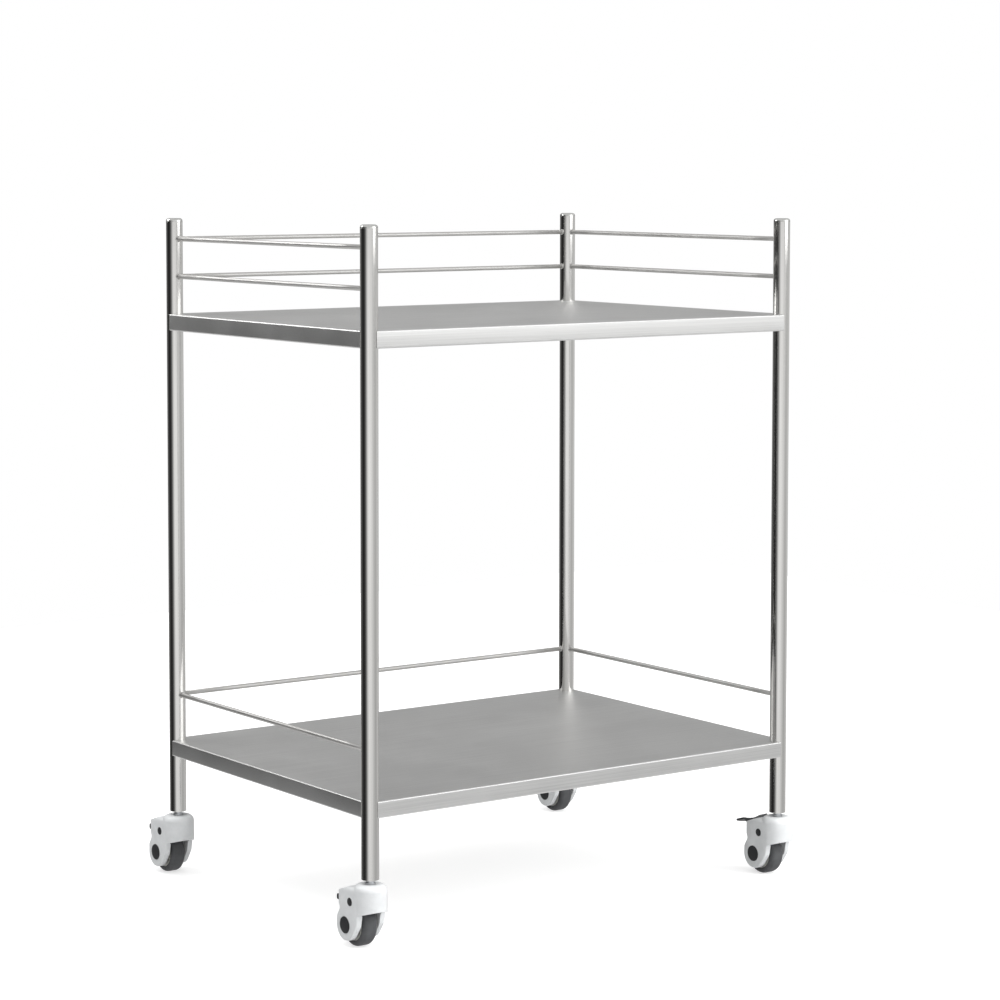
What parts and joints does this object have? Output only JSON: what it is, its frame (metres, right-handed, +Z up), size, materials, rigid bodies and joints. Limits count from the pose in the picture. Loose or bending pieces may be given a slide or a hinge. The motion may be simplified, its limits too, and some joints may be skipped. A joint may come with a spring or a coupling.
{
  "type": "two-tier equipment trolley",
  "caption": "Two-tier steel equipment trolley with tube posts, folded sheet shelves, guard rails round three sides and swivel casters, some with a foot brake.",
  "frame": {"origin": "on the floor, at the middle of the bounding box with all casters trailing to the rear; the frame of posts and shelves is centred 18.75 mm in front of it", "axes": "+Z up; +X to the right along the long side, seen from the open front; +Y to the railed rear"},
  "size_m": [0.6812, 0.5371, 0.862],
  "materials": {
    "polished_tube": "polished",
    "satin_steel": "satin",
    "rail_steel": "polished",
    "cap_steel": "polished",
    "zinc_steel": "satin",
    "white_plastic": "gloss",
    "white_nylon": "matte",
    "black_plastic": "satin",
    "dark_rubber": "matte"
  },
  "bodies": {
    "frame": {"post_front_left": "polished_tube", "post_front_right": "polished_tube", "post_rear_left": "polished_tube", "post_rear_right": "polished_tube", "post_caps": "cap_steel", "stem_sockets": "black_plastic", "swivel_stems": "zinc_steel", "upper_shelf": "satin_steel", "lower_shelf": "satin_steel", "upper_stiffener": "satin_steel", "lower_stiffener": "satin_steel", "top_rail_left": "rail_steel", "top_rail_rear": "rail_steel", "top_rail_right": "rail_steel", "middle_rail_left": "rail_steel", "middle_rail_rear": "rail_steel", "middle_rail_right": "rail_steel", "low_rail_left": "rail_steel", "low_rail_rear": "rail_steel", "low_rail_right": "rail_steel"},
    "caster_front_left": {"housing_front_left": "white_plastic", "swivel_bearing_front_left": "zinc_steel", "axle_front_left": "zinc_steel", "hub_caps_front_left": "black_plastic", "pivot_pin_front_left": "black_plastic", "slot_plug_front_left": "black_plastic"},
    "wheel_front_left": {"tyre_front_left": "dark_rubber", "wheel_core_front_left": "white_nylon", "wheel_bush_front_left": "white_nylon"},
    "caster_front_right": {"housing_front_right": "white_plastic", "swivel_bearing_front_right": "zinc_steel", "axle_front_right": "zinc_steel", "hub_caps_front_right": "black_plastic", "pivot_pin_front_right": "black_plastic"},
    "wheel_front_right": {"tyre_front_right": "dark_rubber", "wheel_core_front_right": "white_nylon", "wheel_bush_front_right": "white_nylon"},
    "brake_front_right": {"pedal_front_right": "black_plastic"},
    "caster_rear_left": {"housing_rear_left": "white_plastic", "swivel_bearing_rear_left": "zinc_steel", "axle_rear_left": "zinc_steel", "hub_caps_rear_left": "black_plastic", "pivot_pin_rear_left": "black_plastic", "slot_plug_rear_left": "black_plastic"},
    "wheel_rear_left": {"tyre_rear_left": "dark_rubber", "wheel_core_rear_left": "white_nylon", "wheel_bush_rear_left": "white_nylon"},
    "caster_rear_right": {"housing_rear_right": "white_plastic", "swivel_bearing_rear_right": "zinc_steel", "axle_rear_right": "zinc_steel", "hub_caps_rear_right": "black_plastic", "pivot_pin_rear_right": "black_plastic"},
    "wheel_rear_right": {"tyre_rear_right": "dark_rubber", "wheel_core_rear_right": "white_nylon", "wheel_bush_rear_right": "white_nylon"},
    "brake_rear_right": {"pedal_rear_right": "black_plastic"}
  },
  "joints": [
    {"name": "swivel_front_left", "type": "hinge", "parent": "frame", "child": "caster_front_left", "pos_m": [-0.31935, -0.2481, 0.0755], "axis": [0, 0, 1], "continuous": true},
    {"name": "roll_front_left", "type": "hinge", "parent": "caster_front_left", "child": "wheel_front_left", "pos_m": [-0.31935, -0.2236, 0.0275], "axis": [1, 0, 0], "continuous": true},
    {"name": "swivel_front_right", "type": "hinge", "parent": "frame", "child": "caster_front_right", "pos_m": [0.31935, -0.2481, 0.0755], "axis": [0, 0, 1], "continuous": true},
    {"name": "roll_front_right", "type": "hinge", "parent": "caster_front_right", "child": "wheel_front_right", "pos_m": [0.31935, -0.2236, 0.0275], "axis": [1, 0, 0], "continuous": true},
    {"name": "brake_front_right", "type": "hinge", "parent": "caster_front_right", "child": "brake_front_right", "pos_m": [0.31935, -0.2341, 0.0573], "axis": [1, 0, 0], "range_deg": [-18, 0]},
    {"name": "swivel_rear_left", "type": "hinge", "parent": "frame", "child": "caster_rear_left", "pos_m": [-0.31935, 0.2106, 0.0755], "axis": [0, 0, 1], "continuous": true},
    {"name": "roll_rear_left", "type": "hinge", "parent": "caster_rear_left", "child": "wheel_rear_left", "pos_m": [-0.31935, 0.2351, 0.0275], "axis": [1, 0, 0], "continuous": true},
    {"name": "swivel_rear_right", "type": "hinge", "parent": "frame", "child": "caster_rear_right", "pos_m": [0.31935, 0.2106, 0.0755], "axis": [0, 0, 1], "continuous": true},
    {"name": "roll_rear_right", "type": "hinge", "parent": "caster_rear_right", "child": "wheel_rear_right", "pos_m": [0.31935, 0.2351, 0.0275], "axis": [1, 0, 0], "continuous": true},
    {"name": "brake_rear_right", "type": "hinge", "parent": "caster_rear_right", "child": "brake_rear_right", "pos_m": [0.31935, 0.2246, 0.0573], "axis": [1, 0, 0], "range_deg": [-18, 0]}
  ]
}
